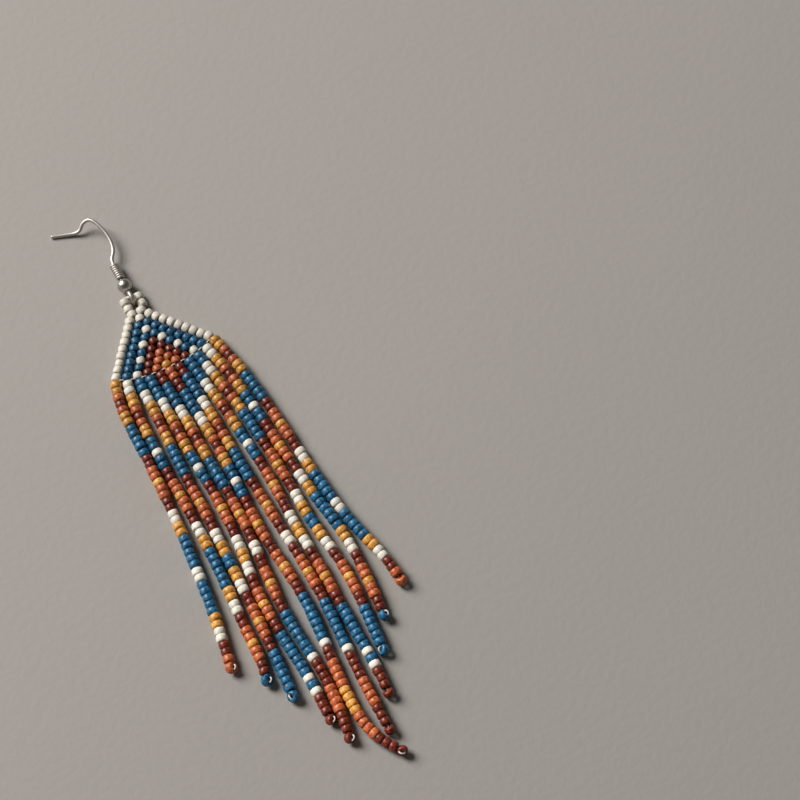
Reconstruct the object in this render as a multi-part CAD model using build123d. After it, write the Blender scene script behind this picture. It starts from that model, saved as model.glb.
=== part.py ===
from build123d import *
import math
import os

# A beaded drop earring that lies flat: a triangular panel of seed beads in brick stitch, eleven
# loose strings of seed beads under it, a loop of beads over it, and an ear wire through the loop.
# Millimetres, +Z up, the fringe towards -Y and the ear wire towards +Y. Everything rests on Z = 0.

# Seed beads
bead_diameter = 2.0
bead_length = 1.4  # along the hole
bead_edge = 0.25  # chamfer at both ends of a bead

# Panel in brick stitch
top_row_bead_count = 2
column_gap = 0.06  # between the beads of a row
row_gap = 0.08  # between the beads of two rows, along the panel's middle
row_curl = 0.235  # each row's ends rise by this much more than the ends of the row above it
apex_lean = 0.48  # the first row stands this far to the left of the base row's middle
core_thickness = 1.1  # the thread and bead walls that join the beads of the panel

# Loop of beads over the panel
loop_bead_count = 2  # in each leg
loop_bead_gap = 0.28  # between the beads of a leg
loop_shift = 0.38  # the loop stands this far to the right of the first row's middle
loop_gap = 0.1  # from the first row's beads to the loop's
thread_diameter = 0.36  # of the doubled thread from leg to leg
thread_inset = 0.24  # from the end of the legs to the middle of the thread

# Fringe
stitch_gap = 0.28  # from the base row's beads to the strands

# Ear wire
wire_diameter = 0.76
ring_radius = 1.15  # to the middle of the wire
ring_side_gap = 0.1  # from the ring to the loop's beads on either side
ring_thread_gap = 0.1  # from the ring's inside to the thread through it
ring_lean = 38  # degrees, from straight over the thread to the ring's middle
hook_floor_gap = 0.08  # from the floor to the standing ring
ball_diameter = 3.0
ball_gap = 0.1  # from the ring to the ball
wire_clearance = 0.05  # between the wire and what is threaded on it
coil_gap = 0.1  # from the ball to the coil
coil_wire = 0.5
coil_turns = 8
arch_reach = 10.9  # from the coil's end to the corner of the arch, along the earring
arch_height = 3.1  # of that corner over the floor
tail_spread = 8.5  # of the tail's tip, sideways from the hook's axis
tip_edge = 0.2  # fillet at the tail's tip

# Bends of the ear wire between the coil and its foot on the floor, as shares: sideways of
# tail_spread, along of arch_reach, and up of the height from the hook's axis to the arch.
WIRE_BENDS = [
    # side, along, up
    (0.0, 0.085, 0.0),
    (-0.188, 0.265, 0.074),
    (-0.206, 0.608, 0.477),
    (-0.024, 1.0, 1.0),
    (0.2, 1.039, 0.262),
    (0.341, 0.934, -0.477),
]
# The foot, where the wire meets the floor, and the tip of the tail that lies on it.
WIRE_ON_FLOOR = [
    # side, along
    (0.576, 0.998),
    (1.0, 1.113),
]

# Routes of the eleven strands from left to right, as offsets from each strand's own start.
STRAND_ROUTES = [
    [(0, 0), (-1.1, -3.2), (-1.6, -9.4), (-1.5, -18.2), (-1.8, -29.4), (-2.6, -40.8), (-3.8, -53.8),
     (-5.8, -65.5)],
    [(0, 0), (-0.8, -3.4), (-1.2, -9.2), (-1.3, -17.5), (-1.0, -29.1), (-1.1, -44.5), (-1.9, -57.7),
     (-2.0, -65.7), (-3.0, -69.8)],
    [(0, 0), (-0.2, -10.6), (-0.7, -22.2), (-0.4, -31.4), (-0.8, -42.8), (-0.9, -52.0),
     (-1.3, -63.6), (-2.0, -74.2)],
    [(0, 0), (0.1, -8.6), (0.0, -18.9), (0.7, -31.3), (0.2, -41.9), (-1.0, -50.7), (-0.7, -61.5),
     (0.4, -72.3), (0.0, -81.2)],
    [(0, 0), (0.4, -10.0), (0.6, -22.9), (1.2, -35.1), (0.1, -48.5), (-0.4, -59.1), (0.9, -69.7),
     (0.4, -79.7), (-0.7, -85.9)],
    [(0, 0), (0.9, -10.2), (1.4, -22.1), (1.2, -31.1), (0.9, -40.7), (2.4, -54.3), (1.9, -64.1),
     (0.9, -74.1), (0.7, -82.5), (2.4, -88.1), (5.7, -92.3)],
    [(0, 0), (1.2, -11.0), (1.5, -23.1), (2.2, -34.3), (3.2, -47.1), (3.4, -58.1), (2.9, -67.7),
     (2.6, -78.5), (2.7, -87.9)],
    [(0, 0), (1.5, -9.8), (2.5, -20.3), (3.3, -30.3), (3.2, -41.7), (3.7, -51.9), (3.6, -63.3),
     (4.1, -74.3), (3.6, -81.5)],
    [(0, 0), (2.0, -10.2), (3.1, -20.7), (3.9, -31.7), (4.1, -43.1), (5.7, -54.3), (5.2, -64.3),
     (4.3, -73.8)],
    [(0, 0), (0.9, -3.4), (1.9, -8.9), (3.1, -17.7), (3.7, -27.1), (4.8, -37.7), (6.7, -50.1),
     (6.2, -59.7), (5.6, -68.3)],
    [(0, 0), (1.1, -3.2), (2.2, -8.8), (3.4, -17.4), (4.3, -28.6), (5.3, -39.6), (7.0, -49.8),
     (9.5, -58.0), (9.7, -64.4)],
]
RUN_SHARE = 0.45  # of the shorter run, taken by the arc at a corner

# Sizes that follow
bead_radius = bead_diameter / 2
thread_radius = thread_diameter / 2
wire_radius = wire_diameter / 2
column_pitch = bead_diameter + column_gap
row_pitch = bead_length + row_gap
base_row = len(STRAND_ROUTES) - top_row_bead_count  # one strand for each bead of the base row
hook_height = max(ring_radius + wire_radius, ball_diameter / 2) + hook_floor_gap
ring_offset = ring_radius - wire_radius - thread_radius - ring_thread_gap
ring_behind = ring_offset * math.sin(math.radians(ring_lean))
thread_height = hook_height - ring_offset * math.cos(math.radians(ring_lean))
loop_middle = loop_shift - apex_lean
loop_leg_spacing = bead_diameter + wire_diameter + 2 * ring_side_gap


def row_sag(row, x):
    """How far a row has risen at x above its own middle, and the slope of the row there."""
    half_width = (top_row_bead_count + row - 1) / 2 * column_pitch
    end_rise = row_curl * row
    rise = end_rise * abs(x / half_width) ** 3
    slope = 3 * end_rise * x * abs(x) / half_width**3
    return rise, slope


def row_places(row):
    """Centre and lean in degrees of each bead of a row, from left to right."""
    count = top_row_bead_count + row
    middle_y = (base_row - row) * row_pitch - row_curl * base_row
    middle_x = -apex_lean * (base_row - row) / base_row
    right_half = []
    x = 0.0 if count % 2 else column_pitch / 2
    while len(right_half) < (count + 1) // 2:
        rise, slope = row_sag(row, x)
        lean = math.atan(slope)
        right_half.append((x, rise, math.degrees(lean)))
        x += column_pitch * math.cos(lean)
    left_half = [(-x, rise, -lean) for x, rise, lean in reversed(right_half[count % 2:])]
    return [(middle_x + x, middle_y + rise, lean) for x, rise, lean in left_half + right_half]


def bead_barrel(x, y, lean):
    """One seed bead lying on the floor, its hole along Y turned by its lean."""
    bead = Cylinder(bead_radius, bead_length)
    bead = chamfer(bead.edges().filter_by(GeomType.CIRCLE), bead_edge)
    return Pos(x, y, bead_radius) * Rot(0, 0, lean) * Rot(90, 0, 0) * bead


def make_panel():
    """All rows of beads on a core that runs through their centres, as one solid."""
    rows = [row_places(row) for row in range(base_row + 1)]
    left_edge = [row[0][:2] for row in rows]
    right_edge = [row[-1][:2] for row in rows]
    base_edge = [place[:2] for place in rows[base_row][1:-1]]
    outline = make_face(Polyline(*left_edge, *base_edge, *reversed(right_edge), close=True))
    core = Pos(0, 0, bead_radius - core_thickness / 2) * extrude(outline, core_thickness)
    return core + [bead_barrel(*place) for row in rows for place in row]


def make_loop():
    """Two legs of beads on a thread that crosses from leg to leg through the hook's ring."""
    leg_start = row_places(0)[0][1] + bead_length / 2 + loop_gap
    loop_bead_pitch = bead_length + loop_bead_gap
    leg_length = (loop_bead_count - 1) * loop_bead_pitch + bead_length
    thread_y = leg_start + leg_length - thread_inset
    thread = Cylinder(thread_radius, loop_leg_spacing)
    loop = Pos(loop_middle, thread_y, thread_height) * Rot(0, 90, 0) * thread
    for side in (-1, 1):
        leg_x = loop_middle + side * loop_leg_spacing / 2
        rod = Cylinder(core_thickness / 2, leg_length - bead_length / 2)
        loop += Pos(leg_x, leg_start + leg_length / 2, bead_radius) * Rot(90, 0, 0) * rod
        for index in range(loop_bead_count):
            loop += bead_barrel(leg_x, leg_start + bead_length / 2 + index * loop_bead_pitch, 0)
    return loop, thread_y


def rounded_route(points):
    """Straight runs joined by tangent arcs, each as large as its two runs allow."""
    corners = [Vector(*point) for point in points]
    radii = []
    for before, corner, after in zip(corners, corners[1:], corners[2:]):
        run_in = corner - before
        run_out = after - corner
        half_turn = math.radians(run_in.get_angle(run_out)) / 2
        radii.append(RUN_SHARE * min(run_in.length, run_out.length) / math.tan(half_turn))
    return FilletPolyline(*corners, radius=radii), radii


def round_sweep(path, diameter):
    """A round bar along a path."""
    section = Plane(origin=path @ 0, z_dir=path % 0) * Circle(diameter / 2)
    return sweep(section, path=path)


def make_strand(index):
    """The tube that stands for one string of the fringe, lying on the floor."""
    bead_x, bead_y, lean = row_places(base_row)[index]
    reach = bead_length / 2 + stitch_gap
    start_x = bead_x + reach * math.sin(math.radians(lean))
    start_y = bead_y - reach * math.cos(math.radians(lean))
    points = [(start_x + dx, start_y + dy, bead_radius) for dx, dy in STRAND_ROUTES[index]]
    path, radii = rounded_route(points)
    tube = round_sweep(path, bead_diameter)
    expected = math.pi * bead_radius**2 * path.length
    print(f"strand {index + 1}: length {path.length:.2f}, volume {tube.volume:.1f} of {expected:.1f},"
          f" radii {[round(radius, 1) for radius in radii]}")
    return tube


def make_hook(ring_y):
    """The ear wire: a closed ring, a straight neck, the front leg, the arch and the tail."""
    neck_y = ring_y + ring_radius
    ball_y = neck_y + wire_radius + ball_gap + ball_diameter / 2
    coil_y = ball_y + ball_diameter / 2 + coil_gap
    coil_end = coil_y + coil_turns * coil_wire
    points = [(loop_middle, neck_y, hook_height)]
    for side, along, up in WIRE_BENDS:
        bend_z = hook_height + up * (arch_height - hook_height)
        points.append((loop_middle - side * tail_spread, coil_end + along * arch_reach, bend_z))
    for side, along in WIRE_ON_FLOOR:
        points.append((loop_middle - side * tail_spread, coil_end + along * arch_reach, wire_radius))
    path, radii = rounded_route(points)
    wire = round_sweep(path, wire_diameter)
    tip = wire.edges().filter_by(GeomType.CIRCLE).sort_by_distance(path @ 1)[0]
    wire = fillet(tip, tip_edge)
    ring = Pos(loop_middle, ring_y, hook_height) * Rot(0, 90, 0) * Torus(ring_radius, wire_radius)
    print(f"ear wire: length {path.length:.2f}, radii {[round(radius, 2) for radius in radii]}")
    return ring + wire, ball_y, coil_y


def make_ball(ball_y):
    """The ball threaded on the neck of the ear wire."""
    bore = Rot(90, 0, 0) * Cylinder(wire_radius + wire_clearance, ball_diameter)
    return Pos(loop_middle, ball_y, hook_height) * (Sphere(ball_diameter / 2) - bore)


def make_coil(coil_y):
    """The close coil over the ball, its turns as round ridges on a sleeve."""
    inner = wire_radius + wire_clearance
    middle = inner + coil_wire / 2
    length = coil_turns * coil_wire
    lines = [Line((middle, length), (inner, length)), Line((inner, length), (inner, 0)),
             Line((inner, 0), (middle, 0))]
    for turn in range(coil_turns):
        start = turn * coil_wire
        crest = (middle + coil_wire / 2, start + coil_wire / 2)
        lines.append(ThreePointArc((middle, start), crest, (middle, start + coil_wire)))
    sleeve = revolve(make_face(lines), Axis.Y)
    return Pos(loop_middle, coil_y, hook_height) * sleeve


os.makedirs("parts", exist_ok=True)
loop, thread_y = make_loop()
hook, ball_y, coil_y = make_hook(thread_y - ring_behind)
pieces = {
    "bead_panel": make_panel(),
    "bead_loop": loop,
    "ear_hook": hook,
    "hook_ball": make_ball(ball_y),
    "hook_coil": make_coil(coil_y),
}
for index in range(len(STRAND_ROUTES)):
    pieces[f"fringe_strand_{index + 1:02d}"] = make_strand(index)

# The origin is on the floor, under the middle of the whole earring's box.
box = Compound(children=[Pos(0, 0, 0) * piece for piece in pieces.values()]).bounding_box()
to_origin = Pos(-box.center().X, -box.center().Y, -box.min.Z)
for name, piece in pieces.items():
    export_step(to_origin * piece, f"parts/{name}.step")
print(f"box {box.size.X:.2f} x {box.size.Y:.2f} x {box.size.Z:.2f}, lowest {box.min.Z:.3f}")
print(f"moved by {to_origin.position.X:.3f}, {to_origin.position.Y:.3f}")
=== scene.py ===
import math
from bisect import bisect_right

import bmesh
import bpy
from bpy.props import FloatProperty, FloatVectorProperty, IntProperty, PointerProperty
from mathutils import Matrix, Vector


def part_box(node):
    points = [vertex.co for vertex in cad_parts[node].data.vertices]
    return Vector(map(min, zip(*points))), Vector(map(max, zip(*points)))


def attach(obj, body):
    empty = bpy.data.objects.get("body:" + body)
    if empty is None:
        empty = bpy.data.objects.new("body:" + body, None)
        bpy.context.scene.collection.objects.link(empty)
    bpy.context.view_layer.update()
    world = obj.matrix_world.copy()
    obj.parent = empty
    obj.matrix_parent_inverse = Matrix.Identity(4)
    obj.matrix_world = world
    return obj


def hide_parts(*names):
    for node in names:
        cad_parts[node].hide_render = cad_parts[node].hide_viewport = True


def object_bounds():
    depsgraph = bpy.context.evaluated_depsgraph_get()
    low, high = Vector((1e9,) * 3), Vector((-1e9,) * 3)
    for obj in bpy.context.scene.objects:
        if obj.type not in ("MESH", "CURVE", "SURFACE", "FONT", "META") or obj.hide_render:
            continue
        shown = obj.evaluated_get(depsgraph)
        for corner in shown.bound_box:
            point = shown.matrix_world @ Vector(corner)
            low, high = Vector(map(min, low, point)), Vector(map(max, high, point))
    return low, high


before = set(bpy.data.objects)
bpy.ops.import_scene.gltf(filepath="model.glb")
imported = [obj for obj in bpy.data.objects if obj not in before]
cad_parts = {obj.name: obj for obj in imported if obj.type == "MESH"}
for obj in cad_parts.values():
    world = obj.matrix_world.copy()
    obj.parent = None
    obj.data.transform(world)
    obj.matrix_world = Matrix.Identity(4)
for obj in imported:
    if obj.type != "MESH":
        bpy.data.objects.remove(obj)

bl_info = {
    "name": "Beaded Fringe Earring",
    "version": (1, 0, 0),
    "blender": (4, 5, 0),
    "location": "View3D > Sidebar > Earring",
    "description": "Seed beads, stitches and ear wire of a brick-stitch fringe earring",
    "category": "Object",
}

BODY = "root"
CAD_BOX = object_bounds()
PANEL_LOW, PANEL_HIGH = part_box("bead_panel")
HOOK_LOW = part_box("ear_hook")[0]
BALL_LOW, BALL_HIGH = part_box("hook_ball")
COIL_LOW, COIL_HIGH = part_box("hook_coil")

# The weave, in metres. The panel's first row has two beads, and each row below it one more.
COLUMN_PITCH = 0.00206
ROW_PITCH = 0.00148
ROW_CURL = 0.000235  # more rise at a row's ends than the row above it has
APEX_LEAN = 0.00048  # of the first row's middle, towards -X from the base row's
SOLID_BEAD_LENGTH = 0.0014
STITCH_GAP = 0.00028  # between the base row and the strings' first beads
LOOP_LEG_SPACING = 0.00296
LOOP_GAP = 0.0001  # between the panel's first row and the loop's first beads
LOOP_BEAD_PITCH = 0.00168
LOOP_BEADS = 2
LOOP_THREAD_RISE = 0.00092  # up the panel, from the middles of the last beads to their thread
LOOP_THREAD_DIP = 0.00062  # the same, where the thread runs through the ring
LOOP_THREAD_HEIGHT = 0.0015  # over the floor, in the ring

# How the threads run and how thick they look beside one thread
LOOP_SHOULDER = 0.2  # share of the way from leg to leg where the loop's thread starts to dip
LOOP_RING_EDGE = 0.38  # share of the same way where it enters the ring
STITCH_DROP = SOLID_BEAD_LENGTH / 2 + STITCH_GAP / 3  # of a stitch's ends, below its beads
STITCH_SHOULDER = 0.3  # share of a stitch's way where it has risen
STRING_THREAD_SHARE = 1.5
TURN_THREAD_SHARE = 1.3

# Bead charts: W cream, B blue, D brown, R rust, G ochre
GLASSES = "WBDRG"
PANEL_CHART = (
    "WW",
    "WWW",
    "WBBW",
    "WBWBW",
    "WBBBBW",
    "WBWDWBW",
    "WBBDDBBW",
    "WBWDRDWBW",
    "WBBDRRDBBW",
    "WBWDRGRDWBW",
)
CHEVRON = "GGRDRGG"
BAND = "DDRRGRRDD"
# One string for each distance from the middle of the fringe
FRINGE_CHART = (
    "RRDDBBBBWW" + CHEVRON + "BBWBB" + BAND + "RRGRRDD" + "BBBBBBBW" + "DDRRRRGGGGRRRRDDDD",
    "DDBBBBWW" + CHEVRON + "BBBBB" + BAND + "WW" + BAND + "BBBBBBBW" + "DDDDRRRRDDDD",
    "BBBBWW" + CHEVRON + "BBWBB" + BAND + "WWGGWW" + BAND + "BBBBBBBWBW" + "DDDD",
    "BBWW" + CHEVRON + "BBBBB" + BAND + "WWGGBBGGWW" + BAND + "BBBBBBB",
    "WW" + CHEVRON + "BBWBB" + BAND + "WWGGBBBBBBGGWW" + BAND + "B",
    CHEVRON + "BBBBB" + BAND + "WWGGBBBBBWWBBBBBGGWW" + "DDRR",
)

# Routes of the strings from left to right, as offsets in metres from each string's own start
STRAND_ROUTES = (
    ((0, 0), (-0.0011, -0.0032), (-0.0016, -0.0094), (-0.0015, -0.0182), (-0.0018, -0.0294),
     (-0.0026, -0.0408), (-0.0038, -0.0538), (-0.0058, -0.0655)),
    ((0, 0), (-0.0008, -0.0034), (-0.0012, -0.0092), (-0.0013, -0.0175), (-0.0010, -0.0291),
     (-0.0011, -0.0445), (-0.0019, -0.0577), (-0.0020, -0.0657), (-0.0030, -0.0698)),
    ((0, 0), (-0.0002, -0.0106), (-0.0007, -0.0222), (-0.0004, -0.0314), (-0.0008, -0.0428),
     (-0.0009, -0.0520), (-0.0013, -0.0636), (-0.0020, -0.0742)),
    ((0, 0), (0.0001, -0.0086), (0.0000, -0.0189), (0.0007, -0.0313), (0.0002, -0.0419),
     (-0.0010, -0.0507), (-0.0007, -0.0615), (0.0004, -0.0723), (0.0000, -0.0812)),
    ((0, 0), (0.0004, -0.0100), (0.0006, -0.0229), (0.0012, -0.0351), (0.0001, -0.0485),
     (-0.0004, -0.0591), (0.0009, -0.0697), (0.0004, -0.0797), (-0.0007, -0.0859)),
    ((0, 0), (0.0009, -0.0102), (0.0014, -0.0221), (0.0012, -0.0311), (0.0009, -0.0407),
     (0.0024, -0.0543), (0.0019, -0.0641), (0.0009, -0.0741), (0.0007, -0.0825),
     (0.0024, -0.0881), (0.0057, -0.0923)),
    ((0, 0), (0.0012, -0.0110), (0.0015, -0.0231), (0.0022, -0.0343), (0.0032, -0.0471),
     (0.0034, -0.0581), (0.0029, -0.0677), (0.0026, -0.0785), (0.0027, -0.0879)),
    ((0, 0), (0.0015, -0.0098), (0.0025, -0.0203), (0.0033, -0.0303), (0.0032, -0.0417),
     (0.0037, -0.0519), (0.0036, -0.0633), (0.0041, -0.0743), (0.0036, -0.0815)),
    ((0, 0), (0.0020, -0.0102), (0.0031, -0.0207), (0.0039, -0.0317), (0.0041, -0.0431),
     (0.0057, -0.0543), (0.0052, -0.0643), (0.0043, -0.0738)),
    ((0, 0), (0.0009, -0.0034), (0.0019, -0.0089), (0.0031, -0.0177), (0.0037, -0.0271),
     (0.0048, -0.0377), (0.0067, -0.0501), (0.0062, -0.0597), (0.0056, -0.0683)),
    ((0, 0), (0.0011, -0.0032), (0.0022, -0.0088), (0.0034, -0.0174), (0.0043, -0.0286),
     (0.0053, -0.0396), (0.0070, -0.0498), (0.0095, -0.0580), (0.0097, -0.0644)),
)
# Where the hole of each string's last bead faces, with the thread's turn in it, in degrees from
# straight past the end towards +X. It faces down, out of sight, where there is no number.
TURN_PLACES = (72, 70, -72, 60, 64, -80, None, None, -115, 112, None)
TURN_LIFT = math.radians(42)  # of that hole over the floor's plane
TURN_OFFSET = 0.00052  # along the hole, from the bead's middle to the middle of the turn
TURN_HALF_ANGLE = math.radians(85)  # from the top of the turn to either end

# The ear wire, in metres, and its bends as shares of the three sizes that they follow
RING_RADIUS = 0.00115
ARCH_REACH = 0.0109
ARCH_HEIGHT = 0.0031
TAIL_SPREAD = 0.0085
TIP_EDGE = 0.0002  # width of the filed edge at the end of the tail
WIRE_CLEARANCE = 0.00005  # round the wire, in the ball and in the coil
WIRE_BENDS = (  # side, along, up
    (0.0, -0.1, 0.0),
    (0.0, 0.085, 0.0),
    (-0.188, 0.265, 0.074),
    (-0.206, 0.608, 0.477),
    (-0.024, 1.0, 1.0),
    (0.2, 1.039, 0.262),
    (0.341, 0.934, -0.477),
)
WIRE_ON_FLOOR = (  # side, along
    (0.576, 0.998),
    (1.0, 1.113),
)

# Half of a bead's outline from its widest place to its hole, as shares of diameter and length
BEAD_OUTLINE = (
    (0.5, 0.0),
    (0.49, 0.285),
    (0.432, 0.45),
    (0.2, 0.5),
)
BEAD_SIDES = 10
BEAD_MERGE = 1e-4  # corners nearer than this become one, in the bead that is one unit long
SEED_STEP = 100.0  # between the seeds of two random numbers of one bead
# How wide and how long each glass's beads are, beside the common size
GLASS_GIRTH = {"W": 0.98, "B": 1.03, "D": 0.93, "R": 1.03, "G": 1.03}
GLASS_REACH = {"W": 1.03, "B": 1.01, "D": 0.98, "R": 1.02, "G": 1.02}
PAINTED_LIGHT_BELOW = 0.8  # share of a bead's tone that comes from how far down the earring it is: painted light, lighter lower down and darker up in the panel

# Steps of a smooth curve between two of its control points
LINE_STEPS = 12
STRING_STEPS = 4
STITCH_STEPS = 6
LOOP_STEPS = 8
COIL_STEPS = 3

# Sides and rounds of what is round
THREAD_SIDES = 6
LOOP_THREAD_SIDES = 8
WIRE_SIDES = 16
RING_ROUNDS = 48
BALL_ROUNDS = 14
BALL_SIDES = 32
COIL_SIDES = 8
COIL_POINTS = 12  # control points of one turn
TIP_SEGMENTS = 4
MERGE_SHARE = 0.001  # of a wire's width or a ball's radius: corners nearer than this become one

# Real widths of what the materials show, in metres
STREAK_WIDTH = 0.0005
PIT_WIDTH = 0.00025
PIT_DEPTH = 0.00005
PLY_WIDTH = 0.0001
PLY_DEPTH = 0.00003
DRAW_MARK_WIDTH = 0.0003
DRAW_MARK_DEPTH = 0.000004
FLOOR_DRIFT = 0.09
FLOOR_GRIT = 0.0015
FLOOR_GRIT_DEPTH = 0.0002

# What else the materials show
GLASS_IOR = 1.52
GLASS_SHEEN = 0.38  # of the reflection off the pitted skin, where 0.5 is a perfect skin's
COAT_ROUGHNESS = 0.28
MELT_EDGES = (0.42, 0.6)  # of the noise: below is the base colour, above is the streak
WEAR_EDGES = (0.35, 0.65)  # of the noise: below is the least roughness, above is the most
PLY_PAINTED_SHADE = 0.7  # painted shade: share of the thread's colour left in the hollows of its twist
FLOOR_SHADE = 0.93  # of the floor's colour, where it is darkest

# The stage, in metres. The camera stands over the fringe's ends and looks down at the panel.
CAMERA_PLACE = (-0.06566, -0.19645, 0.4644)
CAMERA_TILT = math.radians(25.5)
CAMERA_TURN = math.radians(-27.29)
SENSOR_WIDTH = 36
WINDOW_DIRECTION = Vector((-0.447, 0.647, 0.616))
WINDOW_DISTANCE = 1.6
WINDOW_WIDTH = 0.8
FLOOR_WIDTH = 2.4
NEAREST_SEEN = 0.01  # before the camera
FILL_EDGES = (0.1, 0.55)  # heights in the sky, as sines, between which the fill grows weaker
FILL_OVERHEAD = 0.2  # share of the fill that is left overhead
FILL_COLOUR = "#FAF8F5"


def linear(code):
    """The linear red, green and blue of an sRGB hex colour."""
    parts = [int(code[at:at + 2], 16) / 255 for at in (1, 3, 5)]
    return tuple(c / 12.92 if c <= 0.04045 else ((c + 0.055) / 1.055) ** 2.4 for c in parts)


def colour(code, name, description):
    """A colour that the user can change."""
    return FloatVectorProperty(
        name=name, description=description, subtype="COLOR", size=3, min=0, max=1,
        default=linear(code))


class BeadSizes(bpy.types.PropertyGroup):
    """Sizes of the seed beads and how much they vary."""

    panel_diameter: FloatProperty(
        name="Panel bead", description="Across a bead of the woven panel", unit="LENGTH",
        default=0.00207)
    fringe_diameter: FloatProperty(
        name="Fringe bead", description="Across a bead of a hanging string", unit="LENGTH",
        default=0.00228)
    length: FloatProperty(
        name="Bead length", description="Along the hole", unit="LENGTH", default=0.0015)
    size_spread: FloatProperty(
        name="Size spread", description="Most that a bead differs in size, as a share",
        subtype="FACTOR", min=0, max=0.3, default=0.045)
    tilt_spread: FloatProperty(
        name="Tilt spread", description="Most that a bead leans on its thread",
        subtype="ANGLE", default=math.radians(8))
    wander: FloatProperty(
        name="Wander", description="Most that a bead sits off its thread's line",
        unit="LENGTH", default=0.00005)
    seed: IntProperty(name="Seed", description="Seed of the beads' differences", default=11)


class ThreadSizes(bpy.types.PropertyGroup):
    """Sizes of the beading thread and its stitches."""

    diameter: FloatProperty(
        name="Thread", description="Across one beading thread", unit="LENGTH", default=0.00024)
    stitch_rise: FloatProperty(
        name="Stitch rise", description="Height of a stitch over the holes that it joins",
        unit="LENGTH", default=0.00062)
    turn_radius: FloatProperty(
        name="Turn radius", description="Radius of the turn round a string's last bead",
        unit="LENGTH", default=0.0006)


class WireSizes(bpy.types.PropertyGroup):
    """Sizes of the ear wire and of the coil that is wound round it."""

    diameter: FloatProperty(
        name="Ear wire", description="Across the wire of the hook", unit="LENGTH",
        default=0.00076)
    coil_wire: FloatProperty(
        name="Coil wire", description="Across the wire of the coil", unit="LENGTH",
        default=0.0005)
    coil_turns: IntProperty(
        name="Coil turns", description="Turns of the coil, side by side", default=8)


class Colours(bpy.types.PropertyGroup):
    """Colours of the glass, thread, steel and floor."""

    cream: colour("#DED7CA", "Cream", "Opaque cream glass")
    blue: colour("#28678A", "Blue", "Opaque blue glass")
    brown: colour("#7A2E1A", "Brown", "Dark red-brown glass")
    rust: colour("#BE663C", "Rust", "Opaque rust glass")
    ochre: colour("#D3974A", "Ochre", "Opaque ochre glass")
    thread: colour("#E6DFD2", "Thread", "Waxed nylon thread")
    steel: colour("#BCB6AF", "Steel", "Surgical steel")
    floor: colour("#9E9891", "Floor", "Floor under the earring")


class StageSettings(bpy.types.PropertyGroup):
    """Light and camera."""

    window_power: FloatProperty(
        name="Window", description="Power of the large soft light", unit="POWER", default=42)
    fill_strength: FloatProperty(
        name="Fill", description="Strength of the light from all round", default=0.36)
    focal_length: FloatProperty(
        name="Lens", description="Focal length of the camera in millimetres", default=117)


def settings(name):
    """One of the property groups above, as the scene holds it."""
    return getattr(bpy.context.scene, "earring_" + name)


def add_node(tree, kind, inputs=None, **options):
    """Adds a node with its settings; inputs maps a socket to a value or to what feeds it."""
    node = tree.nodes.new(kind)
    for name, value in options.items():
        setattr(node, name, value)
    for key, value in (inputs or {}).items():
        if isinstance(value, bpy.types.NodeSocket):
            tree.links.new(value, node.inputs[key])
        else:
            node.inputs[key].default_value = value
    return node


def new_material(name):
    """A material with an empty node tree."""
    material = bpy.data.materials.new(name)
    material.use_nodes = True
    material.node_tree.nodes.clear()
    return material


def pressed_glass(name, base, streak, tone_spread, roughness, coat):
    """Seed bead glass: its melt is mottled, and no two beads have quite the same tone. Part of
    that tone is painted light, lighter lower down the earring.
    """
    material = new_material(name)
    tree = material.node_tree
    place = add_node(tree, "ShaderNodeTexCoord").outputs["Object"]
    melt = add_node(tree, "ShaderNodeTexNoise",
                    {"Vector": place, "Scale": 1 / STREAK_WIDTH, "Detail": 4.0})
    mottle = add_node(tree, "ShaderNodeMapRange",
                      {"Value": melt.outputs["Fac"], "From Min": MELT_EDGES[0],
                       "From Max": MELT_EDGES[1]})
    streaked = add_node(tree, "ShaderNodeMix",
                        {0: mottle.outputs["Result"], 6: (*base, 1), 7: (*streak, 1)},
                        data_type="RGBA")
    # The bead's tone is partly random and partly painted light: beads lower down the earring are
    # lighter, those in the panel darker.
    own = add_node(tree, "ShaderNodeAttribute", attribute_name="bead_tone")
    tone = add_node(tree, "ShaderNodeMapRange",
                    {"Value": own.outputs["Fac"], "To Min": 1 - tone_spread,
                     "To Max": 1 + tone_spread})
    toned = add_node(tree, "ShaderNodeHueSaturation",
                     {"Color": streaked.outputs[2], "Value": tone.outputs["Result"]})
    pits = add_node(tree, "ShaderNodeTexNoise", {"Vector": place, "Scale": 1 / PIT_WIDTH})
    skin = add_node(tree, "ShaderNodeBump",
                    {"Height": pits.outputs["Fac"], "Distance": PIT_DEPTH, "Strength": 0.5})
    shader = add_node(tree, "ShaderNodeBsdfPrincipled",
                      {"Base Color": toned.outputs["Color"], "Normal": skin.outputs["Normal"],
                       "Roughness": roughness, "IOR": GLASS_IOR,
                       "Specular IOR Level": GLASS_SHEEN, "Coat Weight": coat,
                       "Coat Roughness": COAT_ROUGHNESS})
    add_node(tree, "ShaderNodeOutputMaterial", {"Surface": shader.outputs["BSDF"]})
    return material


def cream_opaque_glass():
    """Opaque white seed bead glass, fired cream: nearly matt, so it has no hard highlight."""
    return pressed_glass("cream_opaque_glass", settings("colours").cream,
                         linear("#CDC3B2"), tone_spread=0.32, roughness=0.5, coat=0.0)


def blue_opaque_glass():
    """Opaque blue seed bead glass: satin, mottled between a deep and a greenish blue."""
    return pressed_glass("blue_opaque_glass", settings("colours").blue,
                         linear("#123C58"), tone_spread=0.52, roughness=0.38, coat=0.0)


def brown_glossy_glass():
    """Dark red-brown seed bead glass: the glossiest of the five, with a soft warm glint."""
    return pressed_glass("brown_glossy_glass", settings("colours").brown,
                         linear("#4A180C"), tone_spread=0.4, roughness=0.36, coat=0.04)


def rust_opaque_glass():
    """Opaque rust-red seed bead glass: satin, with one soft highlight."""
    return pressed_glass("rust_opaque_glass", settings("colours").rust,
                         linear("#94421F"), tone_spread=0.44, roughness=0.38, coat=0.0)


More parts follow.
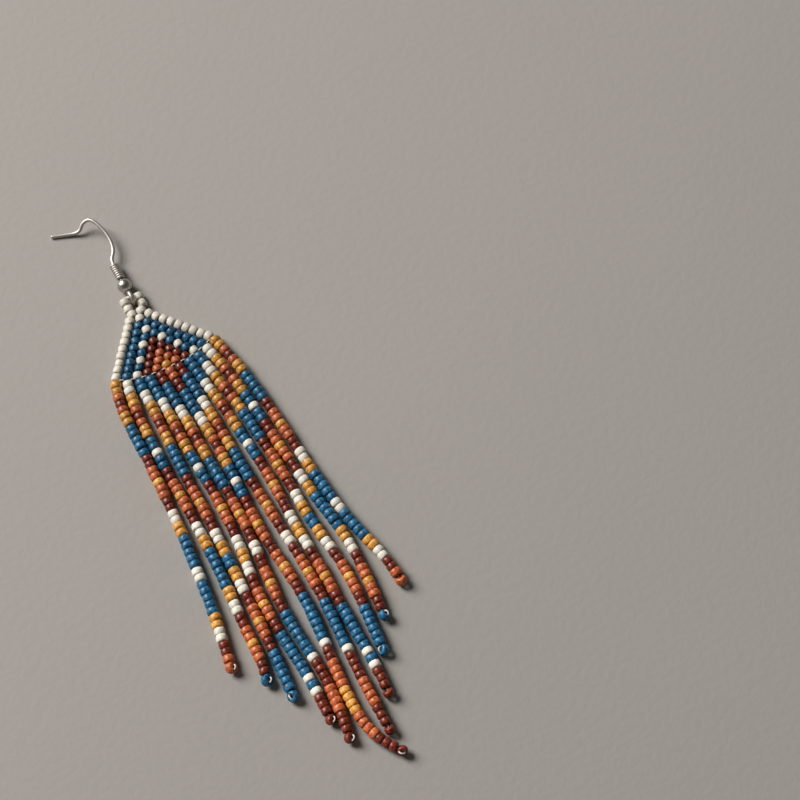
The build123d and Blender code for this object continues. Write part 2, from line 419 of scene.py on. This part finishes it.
def ochre_opaque_glass():
    """Opaque ochre seed bead glass: satin, with one soft highlight."""
    return pressed_glass("ochre_opaque_glass", settings("colours").ochre,
                         linear("#AC7226"), tone_spread=0.52, roughness=0.38, coat=0.0)


def waxed_nylon_thread():
    """Waxed nylon beading thread: off-white and soft, with the twist of its plies as ripples and
    painted shade in their hollows.
    """
    material = new_material("waxed_nylon_thread")
    tree = material.node_tree
    place = add_node(tree, "ShaderNodeTexCoord").outputs["Object"]
    plies = add_node(tree, "ShaderNodeTexNoise", {"Vector": place, "Scale": 1 / PLY_WIDTH})
    twist = add_node(tree, "ShaderNodeBump",
                     {"Height": plies.outputs["Fac"], "Distance": PLY_DEPTH})
    base = settings("colours").thread
    # Painted shade: the thread's colour is darker in the hollows of its twist.
    shaded = add_node(tree, "ShaderNodeMix",
                      {0: plies.outputs["Fac"], 6: (*(part * PLY_PAINTED_SHADE for part in base), 1),
                       7: (*base, 1)}, data_type="RGBA")
    shader = add_node(tree, "ShaderNodeBsdfPrincipled",
                      {"Base Color": shaded.outputs[2], "Normal": twist.outputs["Normal"],
                       "Roughness": 0.55})
    add_node(tree, "ShaderNodeOutputMaterial", {"Surface": shader.outputs["BSDF"]})
    return material


def marked_steel(name, least_roughness, most_roughness):
    """Surgical steel, with faint marks that break up what it reflects."""
    material = new_material(name)
    tree = material.node_tree
    place = add_node(tree, "ShaderNodeTexCoord").outputs["Object"]
    marks = add_node(tree, "ShaderNodeTexNoise",
                     {"Vector": place, "Scale": 1 / DRAW_MARK_WIDTH, "Detail": 4.0})
    wear = add_node(tree, "ShaderNodeMapRange",
                    {"Value": marks.outputs["Fac"], "From Min": WEAR_EDGES[0],
                     "From Max": WEAR_EDGES[1], "To Min": least_roughness,
                     "To Max": most_roughness})
    skin = add_node(tree, "ShaderNodeBump",
                    {"Height": marks.outputs["Fac"], "Distance": DRAW_MARK_DEPTH,
                     "Strength": 0.4})
    shader = add_node(tree, "ShaderNodeBsdfPrincipled",
                      {"Base Color": (*settings("colours").steel, 1), "Metallic": 1.0,
                       "Roughness": wear.outputs["Result"], "Normal": skin.outputs["Normal"]})
    add_node(tree, "ShaderNodeOutputMaterial", {"Surface": shader.outputs["BSDF"]})
    return material


def tumbled_steel_wire():
    """Drawn and tumbled wire of surgical steel: satin, with a broad soft streak of light."""
    return marked_steel("tumbled_steel_wire", least_roughness=0.48, most_roughness=0.6)


def polished_steel_ball():
    """The turned ball, brighter than the wire: it mirrors the window as one clear spot."""
    return marked_steel("polished_steel_ball", least_roughness=0.28, most_roughness=0.4)


def pale_mineral_floor():
    """Smooth pale mineral screed: matt, with a tone that drifts a little and a fine grit."""
    material = new_material("pale_mineral_floor")
    tree = material.node_tree
    place = add_node(tree, "ShaderNodeTexCoord").outputs["Object"]
    base = settings("colours").floor
    drift = add_node(tree, "ShaderNodeTexNoise",
                     {"Vector": place, "Scale": 1 / FLOOR_DRIFT, "Detail": 5.0})
    tinted = add_node(tree, "ShaderNodeMix",
                      {0: drift.outputs["Fac"], 6: (*base, 1),
                       7: (*(part * FLOOR_SHADE for part in base), 1)}, data_type="RGBA")
    grit = add_node(tree, "ShaderNodeTexNoise",
                    {"Vector": place, "Scale": 1 / FLOOR_GRIT, "Detail": 4.0})
    skin = add_node(tree, "ShaderNodeBump",
                    {"Height": grit.outputs["Fac"], "Distance": FLOOR_GRIT_DEPTH,
                     "Strength": 0.3})
    shader = add_node(tree, "ShaderNodeBsdfPrincipled",
                      {"Base Color": tinted.outputs[2], "Normal": skin.outputs["Normal"],
                       "Roughness": 0.8})
    add_node(tree, "ShaderNodeOutputMaterial", {"Surface": shader.outputs["BSDF"]})
    return material


GLASS_MAKERS = {"W": cream_opaque_glass, "B": blue_opaque_glass, "D": brown_glossy_glass,
                "R": rust_opaque_glass, "G": ochre_opaque_glass}


def finish_of(make):
    """The material that a maker above makes, made only once."""
    return bpy.data.materials.get(make.__name__) or make()


def row_places(row):
    """Centre and lean of each bead of a panel row, from left to right. A row rises towards its
    ends with the cube of the way from its middle."""
    base_row = len(PANEL_CHART) - 1
    count = len(PANEL_CHART[row])
    half_width = (count - 1) / 2 * COLUMN_PITCH
    end_rise = ROW_CURL * row
    middle_x = (PANEL_LOW.x + PANEL_HIGH.x) / 2 - APEX_LEAN * (base_row - row) / base_row
    middle_y = PANEL_LOW.y + SOLID_BEAD_LENGTH / 2 + (base_row - row) * ROW_PITCH
    right_half = []
    x = 0.0 if count % 2 else COLUMN_PITCH / 2
    while len(right_half) < (count + 1) // 2:
        lean = math.atan(3 * end_rise * x * abs(x) / half_width**3)
        right_half.append((x, end_rise * abs(x / half_width) ** 3, lean))
        x += COLUMN_PITCH * math.cos(lean)
    left_half = [(-x, rise, -lean) for x, rise, lean in reversed(right_half[count % 2:])]
    return [(middle_x + x, middle_y + rise, lean) for x, rise, lean in left_half + right_half]


def hole_line(lean):
    """The direction of a lying bead's hole, up the panel."""
    return Vector((-math.sin(lean), math.cos(lean), 0))


def base_beads():
    """Centre and hole direction of each bead of the base row, that the strings hang from."""
    height = settings("beads").panel_diameter / 2
    return [(Vector((x, y, height)), hole_line(lean))
            for x, y, lean in row_places(len(PANEL_CHART) - 1)]


def strand_route(index):
    """Control points of one string, from under its bead of the base row to its last bead."""
    place, line = base_beads()[index]
    start = place - line * (SOLID_BEAD_LENGTH / 2 + STITCH_GAP)
    start.z = settings("beads").fringe_diameter / 2
    return [start + Vector((dx, dy, 0)) for dx, dy in STRAND_ROUTES[index]]


def new_rail(routes, bevel_radius=0.0, sides=8, steps=LINE_STEPS):
    """A curve object of smooth splines, each with one route's points as its control points."""
    curve = bpy.data.curves.new("rail", "CURVE")
    curve.dimensions = "3D"
    curve.fill_mode = "FULL"
    curve.bevel_depth = bevel_radius
    curve.bevel_resolution = sides // 2 - 2  # 4 sides, and 2 more for each of these
    curve.use_fill_caps = True
    curve.resolution_u = steps
    for route in routes:
        spline = curve.splines.new("NURBS")
        spline.points.add(len(route) - 1)
        for point, place in zip(spline.points, route):
            point.co = (*place, 1)
        spline.order_u = 3
        spline.use_endpoint_u = True
        spline.use_smooth = True
    rail = bpy.data.objects.new("rail", curve)
    bpy.context.scene.collection.objects.link(rail)
    return rail


def to_mesh(maker):
    """The mesh that an object shows once its bevel or its nodes are worked out. The object
    that made it is removed."""
    graph = bpy.context.evaluated_depsgraph_get()
    mesh = bpy.data.meshes.new_from_object(maker.evaluated_get(graph),
                                           preserve_all_data_layers=True, depsgraph=graph)
    bpy.data.objects.remove(maker)
    return mesh


def bar_mesh(routes, diameter, material, **rail_settings):
    """Round bars along smooth routes."""
    mesh = to_mesh(new_rail(routes, diameter / 2, **rail_settings))
    mesh.materials.clear()
    mesh.materials.append(finish_of(material))
    return mesh


def place_piece(name, mesh, replaced=()):
    """Puts a finished mesh in the scene as a piece of the earring."""
    mesh.name = name
    piece = bpy.data.objects.new(name, mesh)
    bpy.context.scene.collection.objects.link(piece)
    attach(piece, BODY)
    if replaced:
        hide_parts(*replaced)


def walk(route, distances):
    """Place and direction at some distances along the smooth line of a route. distances is a
    function that gives them for the line's length."""
    mesh = to_mesh(new_rail([route]))
    line = [vertex.co.copy() for vertex in mesh.vertices]
    bpy.data.meshes.remove(mesh)
    reached = [0.0]
    for a, b in zip(line, line[1:]):
        reached.append(reached[-1] + (b - a).length)
    stops = []
    for distance in distances(reached[-1]):
        at = min(max(bisect_right(reached, distance) - 1, 0), len(line) - 2)
        step = line[at + 1] - line[at]
        stops.append((line[at] + step * ((distance - reached[at]) / step.length),
                      step.normalized()))
    return stops


def turned_shape(places, sides, merge):
    """A closed outline beside the Y axis, turned once round it."""
    shape = bmesh.new()
    outline = [shape.verts.new(place) for place in places]
    edges = [shape.edges.new(pair) for pair in zip(outline, outline[1:] + outline[:1])]
    bmesh.ops.spin(shape, geom=outline + edges, axis=(0, 1, 0), cent=(0, 0, 0),
                   angle=math.tau, steps=sides)
    bmesh.ops.remove_doubles(shape, verts=shape.verts, dist=merge)
    return shape


def fill_mesh(mesh, shape):
    """Gives a mesh the edited shape, with its faces outward and smooth."""
    bmesh.ops.recalc_face_normals(shape, faces=shape.faces)
    shape.to_mesh(mesh)
    shape.free()
    mesh.polygons.foreach_set("use_smooth", [True] * len(mesh.polygons))


def seed_bead():
    """The bead that every other repeats, one unit across and one unit along its hole, on Y."""
    half = [Vector((radius, along, 0)) for radius, along in BEAD_OUTLINE]
    other_half = [Vector((place.x, -place.y, 0)) for place in reversed(half[1:])]
    mesh = bpy.data.meshes.new("seed_bead")
    fill_mesh(mesh, turned_shape(half + other_half, BEAD_SIDES, BEAD_MERGE))
    return bpy.data.objects.new("seed_bead", mesh)


def threading_tree():
    """Geometry nodes that put a bead on each point, a little unlike its neighbours."""
    tree = bpy.data.node_groups.new("thread_the_beads", "GeometryNodeTree")
    for name, kind in (("Geometry", "NodeSocketGeometry"), ("Bead", "NodeSocketObject"),
                       ("Diameter", "NodeSocketFloat"), ("Length", "NodeSocketFloat"),
                       ("Size spread", "NodeSocketFloat"), ("Tilt spread", "NodeSocketFloat"),
                       ("Wander", "NodeSocketFloat"), ("Seed", "NodeSocketInt")):
        tree.interface.new_socket(name, in_out="INPUT", socket_type=kind)
    tree.interface.new_socket("Geometry", in_out="OUTPUT", socket_type="NodeSocketGeometry")
    given = add_node(tree, "NodeGroupInput").outputs

    def own(name, kind):
        """What a point says of its own bead."""
        return add_node(tree, "GeometryNodeInputNamedAttribute", {"Name": name},
                        data_type=kind).outputs["Attribute"]

    def spread(amount, stream):
        """A random number between minus and plus an amount, with a stream for each use."""
        least = add_node(tree, "ShaderNodeMath", {0: 0.0, 1: amount}, operation="SUBTRACT")
        seed = add_node(tree, "ShaderNodeMath", {0: given["Seed"], 1: stream * SEED_STEP},
                        operation="ADD")
        return add_node(tree, "FunctionNodeRandomValue",
                        {2: least.outputs[0], 3: amount, "Seed": seed.outputs[0]},
                        data_type="FLOAT").outputs[1]

    near_one = add_node(tree, "ShaderNodeMath", {0: 1.0, 1: spread(given["Size spread"], 6)},
                        operation="ADD").outputs[0]
    share = add_node(tree, "ShaderNodeMath", {0: own("girth", "FLOAT"), 1: near_one},
                     operation="MULTIPLY").outputs[0]
    girth = add_node(tree, "ShaderNodeMath", {0: share, 1: given["Diameter"]},
                     operation="MULTIPLY").outputs[0]
    reach = add_node(tree, "ShaderNodeMath", {0: own("reach", "FLOAT"), 1: given["Length"]},
                     operation="MULTIPLY").outputs[0]
    # A bead that is wider than the common size lies higher by half of what it has more.
    excess = add_node(tree, "ShaderNodeMath", {0: girth, 1: given["Diameter"]},
                      operation="SUBTRACT").outputs[0]
    lift = add_node(tree, "ShaderNodeMath", {0: excess, 1: 0.0}, operation="MAXIMUM").outputs[0]
    half_lift = add_node(tree, "ShaderNodeMath", {0: lift, 1: 0.5},
                         operation="MULTIPLY").outputs[0]
    shift = add_node(tree, "ShaderNodeCombineXYZ",
                     {"X": spread(given["Wander"], 1), "Y": spread(given["Wander"], 2),
                      "Z": half_lift})
    moved = add_node(tree, "GeometryNodeSetPosition",
                     {"Geometry": given["Geometry"], "Offset": shift.outputs[0]})
    facing = add_node(tree, "FunctionNodeAlignRotationToVector",
                      {"Vector": own("hole", "FLOAT_VECTOR")}, axis="Y")
    lean = add_node(tree, "ShaderNodeCombineXYZ",
                    {"X": spread(given["Tilt spread"], 3), "Y": spread(math.pi, 4),
                     "Z": spread(given["Tilt spread"], 5)})
    leaning = add_node(tree, "FunctionNodeEulerToRotation", {0: lean.outputs[0]})
    turned = add_node(tree, "FunctionNodeRotateRotation",
                      {0: facing.outputs[0], 1: leaning.outputs[0]}, rotation_space="LOCAL")
    size = add_node(tree, "ShaderNodeCombineXYZ", {"X": girth, "Y": reach, "Z": girth})
    shape = add_node(tree, "GeometryNodeObjectInfo", {"Object": given["Bead"]})
    beads = add_node(tree, "GeometryNodeInstanceOnPoints",
                     {"Points": moved.outputs[0], "Instance": shape.outputs["Geometry"],
                      "Rotation": turned.outputs[0], "Scale": size.outputs[0]})
    chance = add_node(tree, "FunctionNodeRandomValue", {2: 0.0, 3: 1.0, "Seed": given["Seed"]},
                      data_type="FLOAT")
    # The tone is partly random and partly painted light: beads lower down the earring are
    # lighter, those in the panel darker.
    below = add_node(tree, "ShaderNodeMath", {0: own("way_down", "FLOAT"), 1: PAINTED_LIGHT_BELOW},
                     operation="MULTIPLY")
    tone = add_node(tree, "ShaderNodeMath",
                    {0: chance.outputs[1], 1: 1 - PAINTED_LIGHT_BELOW, 2: below.outputs[0]},
                    operation="MULTIPLY_ADD")
    toned = add_node(tree, "GeometryNodeStoreNamedAttribute",
                     {"Geometry": beads.outputs[0], "Name": "bead_tone",
                      "Value": tone.outputs[0]}, data_type="FLOAT", domain="INSTANCE")
    result = add_node(tree, "GeometryNodeRealizeInstances", {0: toned.outputs[0]}).outputs[0]
    for number, letter in enumerate(GLASSES):
        same = add_node(tree, "FunctionNodeCompare", {2: own("glass", "INT"), 3: number},
                        data_type="INT", operation="EQUAL")
        result = add_node(tree, "GeometryNodeSetMaterial",
                          {"Geometry": result, "Selection": same.outputs[0],
                           "Material": finish_of(GLASS_MAKERS[letter])}).outputs[0]
    add_node(tree, "NodeGroupOutput", {"Geometry": result})
    return tree


def bead_mesh(stops, letters, diameter, piece_number):
    """The beads of one piece: stops are their centres and the directions of their holes."""
    points = bpy.data.meshes.new("points")
    points.from_pydata([place for place, line in stops], [], [])
    low, high = CAD_BOX
    for name, kind, values in (
            # how far down the earring a bead lies, which sets its painted light
            ("way_down", "FLOAT",
             [(high[1] - place.y) / (high[1] - low[1]) for place, line in stops]),
            ("glass", "INT", [GLASSES.index(letter) for letter in letters]),
            ("girth", "FLOAT", [GLASS_GIRTH[letter] for letter in letters]),
            ("reach", "FLOAT", [GLASS_REACH[letter] for letter in letters])):
        points.attributes.new(name, kind, "POINT").data.foreach_set("value", values)
    hole = points.attributes.new("hole", "FLOAT_VECTOR", "POINT")
    hole.data.foreach_set("vector", [part for place, line in stops for part in line])
    carrier = bpy.data.objects.new("carrier", points)
    bpy.context.scene.collection.objects.link(carrier)
    bead = seed_bead()
    tree = threading_tree()
    threading = carrier.modifiers.new("threading", "NODES")
    threading.node_group = tree
    sizes = settings("beads")
    values = {"Bead": bead, "Diameter": diameter, "Length": sizes.length,
              "Size spread": sizes.size_spread, "Tilt spread": sizes.tilt_spread,
              "Wander": sizes.wander, "Seed": sizes.seed + piece_number}
    for socket in tree.interface.items_tree:
        if socket.name in values:
            threading[socket.identifier] = values[socket.name]
    mesh = to_mesh(carrier)
    bpy.data.objects.remove(bead)
    bpy.data.node_groups.remove(tree)
    return mesh


def loop_bead_places():
    """Centres of the loop's beads, leg by leg and upwards, over the panel's first row."""
    height = settings("beads").panel_diameter / 2
    hook_x = (BALL_LOW.x + BALL_HIGH.x) / 2
    first_y = row_places(0)[0][1] + SOLID_BEAD_LENGTH + LOOP_GAP
    return [Vector((leg_x, first_y + step * LOOP_BEAD_PITCH, height))
            for leg_x in (hook_x - LOOP_LEG_SPACING / 2, hook_x + LOOP_LEG_SPACING / 2)
            for step in range(LOOP_BEADS)]


def fringe_stops(index):
    """Centre and hole direction of each bead of a string. The last bead is turned aside, because
    the thread turns back through it."""
    letters = FRINGE_CHART[abs(index - len(STRAND_ROUTES) // 2)]
    width = settings("beads").fringe_diameter

    def distances(length):
        above = len(letters) - 1
        pitch = (length - width) / above
        return [(number + 0.5) * pitch for number in range(above)] + [length - width / 2]

    stops = walk(strand_route(index), distances)
    place, line = stops[-1]
    way = math.radians(TURN_PLACES[index] or 0)
    lift = TURN_LIFT if TURN_PLACES[index] is not None else -TURN_LIFT
    outward = line * math.cos(way) + Vector((-line.y, line.x, 0)) * math.sin(way)
    stops[-1] = (place, outward * math.cos(lift) + Vector((0, 0, math.sin(lift))))
    return stops, letters


class EARRING_OT_panel_beads(bpy.types.Operator):
    """Weave the triangular panel in brick stitch from its chart"""

    bl_idname = "earring.panel_beads"
    bl_label = "Panel beads"

    def execute(self, context):
        diameter = settings("beads").panel_diameter
        stops = [(Vector((x, y, diameter / 2)), hole_line(lean))
                 for row in range(len(PANEL_CHART)) for x, y, lean in row_places(row)]
        mesh = bead_mesh(stops, "".join(PANEL_CHART), diameter, 0)
        place_piece("panel_seed_beads", mesh, ["bead_panel"])
        return {"FINISHED"}


class EARRING_OT_loop_beads(bpy.types.Operator):
    """Thread the two short legs of cream beads that hold the ear wire"""

    bl_idname = "earring.loop_beads"
    bl_label = "Loop beads"

    def execute(self, context):
        stops = [(place, Vector((0, 1, 0))) for place in loop_bead_places()]
        mesh = bead_mesh(stops, "W" * len(stops), settings("beads").panel_diameter, 1)
        place_piece("loop_seed_beads", mesh, ["bead_loop"])
        return {"FINISHED"}


class EARRING_OT_fringe_beads(bpy.types.Operator):
    """Thread the beads of the eleven hanging strings along their routes"""

    bl_idname = "earring.fringe_beads"
    bl_label = "Fringe beads"

    def execute(self, context):
        for index in range(len(STRAND_ROUTES)):
            stops, letters = fringe_stops(index)
            mesh = bead_mesh(stops, letters, settings("beads").fringe_diameter, 2 + index)
            place_piece(f"fringe_beads_{index + 1:02d}", mesh,
                        [f"fringe_strand_{index + 1:02d}"])
        return {"FINISHED"}


class EARRING_OT_threads(bpy.types.Operator):
    """Lay the thread in the strings, its turns, the stitches of the base row and the loop"""

    bl_idname = "earring.threads"
    bl_label = "Threads"

    def execute(self, context):
        sizes = settings("threads")
        bases = base_beads()
        last_beads = [fringe_stops(index)[0][-1] for index in range(len(STRAND_ROUTES))]
        strings = [[bases[index][0]] + strand_route(index)[:-1] + [last_beads[index][0]]
                   for index in range(len(STRAND_ROUTES))]
        mesh = bar_mesh(strings, STRING_THREAD_SHARE * sizes.diameter, waxed_nylon_thread,
                        sides=THREAD_SIDES, steps=STRING_STEPS)
        place_piece("string_threads", mesh)

        rise = Vector((0, 0, sizes.stitch_rise))
        stitches = []
        for (left, left_line), (right, right_line) in zip(bases, bases[1:]):
            start = left - left_line * STITCH_DROP
            end = right - right_line * STITCH_DROP
            stitches.append([start, start.lerp(end, STITCH_SHOULDER) + rise,
                             start.lerp(end, 1 - STITCH_SHOULDER) + rise, end])
        mesh = bar_mesh(stitches, sizes.diameter, waxed_nylon_thread,
                        sides=THREAD_SIDES, steps=STITCH_STEPS)
        place_piece("base_row_stitches", mesh)

        turns = []
        for turn_place, (place, hole) in zip(TURN_PLACES, last_beads):
            if turn_place is None:
                continue
            sideways = Vector((-hole.y, hole.x, 0)).normalized()
            angles = [TURN_HALF_ANGLE * share for share in (-1, -0.5, 0, 0.5, 1)]
            turns.append([place + hole * (TURN_OFFSET + sizes.turn_radius * math.cos(angle))
                          + sideways * sizes.turn_radius * math.sin(angle) for angle in angles])
        mesh = bar_mesh(turns, TURN_THREAD_SHARE * sizes.diameter, waxed_nylon_thread,
                        sides=THREAD_SIDES, steps=STITCH_STEPS)
        place_piece("string_end_turns", mesh)

        # The doubled thread turns over the ends of the legs and dips through the ring between.
        places = loop_bead_places()
        left_top = places[LOOP_BEADS - 1]
        right_top = places[-1]
        strands = []
        for apart in (-sizes.diameter / 2, sizes.diameter / 2):
            over = Vector((0, LOOP_THREAD_RISE + apart, 0))
            through = Vector((0, LOOP_THREAD_DIP + apart, LOOP_THREAD_HEIGHT - left_top.z))
            strands.append([left_top, left_top + over,
                            left_top.lerp(right_top, LOOP_SHOULDER) + over,
                            left_top.lerp(right_top, LOOP_RING_EDGE) + through,
                            left_top.lerp(right_top, 1 - LOOP_RING_EDGE) + through,
                            left_top.lerp(right_top, 1 - LOOP_SHOULDER) + over,
                            right_top + over, right_top])
        mesh = bar_mesh(strands, sizes.diameter, waxed_nylon_thread,
                        sides=LOOP_THREAD_SIDES, steps=LOOP_STEPS)
        place_piece("loop_thread", mesh)
        return {"FINISHED"}


class EARRING_OT_ear_wire(bpy.types.Operator):
    """Bend the ear wire, with its ring, neck, front leg, arch and tail"""

    bl_idname = "earring.ear_wire"
    bl_label = "Ear wire"

    def execute(self, context):
        diameter = settings("wire").diameter
        hook_x = (BALL_LOW.x + BALL_HIGH.x) / 2
        hook_z = (BALL_LOW.z + BALL_HIGH.z) / 2
        ring_y = HOOK_LOW.y + RING_RADIUS + diameter / 2
        route = [Vector((hook_x, ring_y + RING_RADIUS, hook_z))]
        bends = [(side, along, hook_z + up * (ARCH_HEIGHT - hook_z))
                 for side, along, up in WIRE_BENDS]
        bends += [(side, along, diameter / 2) for side, along in WIRE_ON_FLOOR]
        for side, along, height in bends:
            route.append(Vector((hook_x - side * TAIL_SPREAD, COIL_HIGH.y + along * ARCH_REACH,
                                 height)))
        mesh = bar_mesh([route], diameter, tumbled_steel_wire, sides=WIRE_SIDES)
        shape = bmesh.new()
        shape.from_mesh(mesh)
        bmesh.ops.remove_doubles(shape, verts=shape.verts, dist=MERGE_SHARE * diameter)
        # Each end's fan of triangles becomes one cap, and the tail's cap gets a filed edge.
        fans = [face for face in shape.faces if len(face.verts) == 3]
        caps = bmesh.ops.dissolve_faces(shape, faces=fans)["region"]
        tip = min(caps, key=lambda face: (face.calc_center_median() - route[-1]).length)
        bmesh.ops.bevel(shape, geom=list(tip.edges), offset=TIP_EDGE, segments=TIP_SEGMENTS,
                        profile=0.5, affect="EDGES")

        # The ring stands on edge, in the plane of Y and Z.
        middle = Vector((hook_x, ring_y, hook_z))
        section = [math.tau * at / WIRE_SIDES for at in range(WIRE_SIDES)]
        rounds = []
        for number in range(RING_ROUNDS):
            turn = math.tau * number / RING_ROUNDS
            outward = Vector((0, math.cos(turn), math.sin(turn)))
            rounds.append([
                shape.verts.new(middle + outward * (RING_RADIUS + diameter / 2 * math.cos(angle))
                                + Vector((diameter / 2 * math.sin(angle), 0, 0)))
                for angle in section])
        for number, around in enumerate(rounds):
            after = rounds[(number + 1) % RING_ROUNDS]
            for at in range(WIRE_SIDES):
                beside = (at + 1) % WIRE_SIDES
                shape.faces.new((around[at], after[at], after[beside], around[beside]))
        fill_mesh(mesh, shape)
        place_piece("ear_wire", mesh, ["ear_hook"])
        return {"FINISHED"}


class EARRING_OT_wire_ball(bpy.types.Operator):
    """Turn the ball that is threaded on the neck of the ear wire"""

    bl_idname = "earring.wire_ball"
    bl_label = "Wire ball"

    def execute(self, context):
        middle = (BALL_LOW + BALL_HIGH) / 2
        radius = (BALL_HIGH.x - BALL_LOW.x) / 2
        bore = settings("wire").diameter / 2 + WIRE_CLEARANCE
        half_turn = math.acos(bore / radius)
        angles = [half_turn * (2 * step / BALL_ROUNDS - 1) for step in range(BALL_ROUNDS + 1)]
        places = [(radius * math.cos(angle), radius * math.sin(angle), 0) for angle in angles]
        shape = turned_shape(places, BALL_SIDES, MERGE_SHARE * radius)
        bmesh.ops.translate(shape, verts=shape.verts, vec=middle)
        mesh = bpy.data.meshes.new("wire_ball")
        fill_mesh(mesh, shape)
        mesh.materials.append(finish_of(polished_steel_ball))
        place_piece("wire_ball", mesh, ["hook_ball"])
        return {"FINISHED"}


class EARRING_OT_wire_coil(bpy.types.Operator):
    """Wind the close coil over the ball"""

    bl_idname = "earring.wire_coil"
    bl_label = "Wire coil"

    def execute(self, context):
        sizes = settings("wire")
        middle = (COIL_LOW + COIL_HIGH) / 2
        # The smooth line runs inside its control points by this share.
        inside = (3 + math.cos(math.tau / COIL_POINTS)) / 4
        radius = (sizes.diameter / 2 + WIRE_CLEARANCE + sizes.coil_wire / 2) / inside
        start = COIL_LOW.y + sizes.coil_wire / 2
        length = COIL_HIGH.y - COIL_LOW.y - sizes.coil_wire
        count = (sizes.coil_turns - 1) * COIL_POINTS
        route = []
        for step in range(count + 1):
            angle = math.tau * step / COIL_POINTS
            route.append(Vector((middle.x + radius * math.cos(angle),
                                 start + length * step / count,
                                 middle.z + radius * math.sin(angle))))
        mesh = bar_mesh([route], sizes.coil_wire, tumbled_steel_wire, sides=COIL_SIDES,
                        steps=COIL_STEPS)
        place_piece("wire_coil", mesh, ["hook_coil"])
        return {"FINISHED"}


class EARRING_OT_stage(bpy.types.Operator):
    """Set the floor, the window light, the fill and the camera"""

    bl_idname = "earring.stage"
    bl_label = "Stage"

    def execute(self, context):
        stage = settings("stage")
        scene = context.scene
        half = FLOOR_WIDTH / 2
        mesh = bpy.data.meshes.new("floor")
        mesh.from_pydata([(-half, -half, 0), (half, -half, 0), (half, half, 0), (-half, half, 0)],
                         [], [(0, 1, 2, 3)])
        mesh.materials.append(finish_of(pale_mineral_floor))
        floor = bpy.data.objects.new("floor", mesh)
        scene.collection.objects.link(floor)

        light = bpy.data.lights.new("window", "AREA")
        light.shape = "SQUARE"
        light.size = WINDOW_WIDTH
        light.energy = stage.window_power
        window = bpy.data.objects.new("window", light)
        window.location = WINDOW_DIRECTION * WINDOW_DISTANCE
        window.rotation_euler = WINDOW_DIRECTION.to_track_quat("Z", "Y").to_euler()
        scene.collection.objects.link(window)

        world = bpy.data.worlds.new("fill")
        world.use_nodes = True
        world.node_tree.nodes.clear()
        towards = add_node(world.node_tree, "ShaderNodeTexCoord").outputs["Generated"]
        height = add_node(world.node_tree, "ShaderNodeSeparateXYZ", {0: towards}).outputs["Z"]
        # The room is brighter at its sides than overhead, so the gaps between strings stay deep.
        room = add_node(world.node_tree, "ShaderNodeMapRange",
                        {"Value": height, "From Min": FILL_EDGES[0], "From Max": FILL_EDGES[1],
                         "To Min": stage.fill_strength,
                         "To Max": FILL_OVERHEAD * stage.fill_strength},
                        interpolation_type="SMOOTHSTEP")
        shader = add_node(world.node_tree, "ShaderNodeBackground",
                          {"Color": (*linear(FILL_COLOUR), 1),
                           "Strength": room.outputs["Result"]})
        add_node(world.node_tree, "ShaderNodeOutputWorld", {"Surface": shader.outputs[0]})
        scene.world = world

        lens = bpy.data.cameras.new("camera")
        lens.lens = stage.focal_length
        lens.sensor_width = SENSOR_WIDTH
        lens.clip_start = NEAREST_SEEN
        camera = bpy.data.objects.new("camera", lens)
        camera.location = CAMERA_PLACE
        camera.rotation_euler = (CAMERA_TILT, 0, CAMERA_TURN)
        scene.collection.objects.link(camera)
        scene.camera = camera
        scene.view_settings.view_transform = "Standard"
        return {"FINISHED"}


class EARRING_PT_panel(bpy.types.Panel):
    """Sizes and colours of the earring, and a button for each group of its pieces"""

    bl_idname = "EARRING_PT_panel"
    bl_label = "Beaded Fringe Earring"
    bl_space_type = "VIEW_3D"
    bl_region_type = "UI"
    bl_category = "Earring"

    def draw(self, context):
        for name in GROUPS:
            box = self.layout.box()
            group = settings(name)
            for key in group.__annotations__:
                box.prop(group, key)
        for operator in OPERATORS:
            self.layout.operator(operator.bl_idname)


GROUPS = {"beads": BeadSizes, "threads": ThreadSizes, "wire": WireSizes, "colours": Colours,
          "stage": StageSettings}
OPERATORS = (EARRING_OT_panel_beads, EARRING_OT_loop_beads, EARRING_OT_fringe_beads,
             EARRING_OT_threads, EARRING_OT_ear_wire, EARRING_OT_wire_ball,
             EARRING_OT_wire_coil, EARRING_OT_stage)


def register():
    for part in (*GROUPS.values(), *OPERATORS, EARRING_PT_panel):
        bpy.utils.register_class(part)
    for name, group in GROUPS.items():
        setattr(bpy.types.Scene, "earring_" + name, PointerProperty(type=group))


def unregister():
    for name in GROUPS:
        delattr(bpy.types.Scene, "earring_" + name)
    for part in reversed((*GROUPS.values(), *OPERATORS, EARRING_PT_panel)):
        bpy.utils.unregister_class(part)


def main():
    """Make every piece and the stage."""
    register()
    bpy.ops.earring.panel_beads()
    bpy.ops.earring.loop_beads()
    bpy.ops.earring.fringe_beads()
    bpy.ops.earring.threads()
    bpy.ops.earring.ear_wire()
    bpy.ops.earring.wire_ball()
    bpy.ops.earring.wire_coil()
    bpy.ops.earring.stage()


if __name__ == "__main__":
    main()
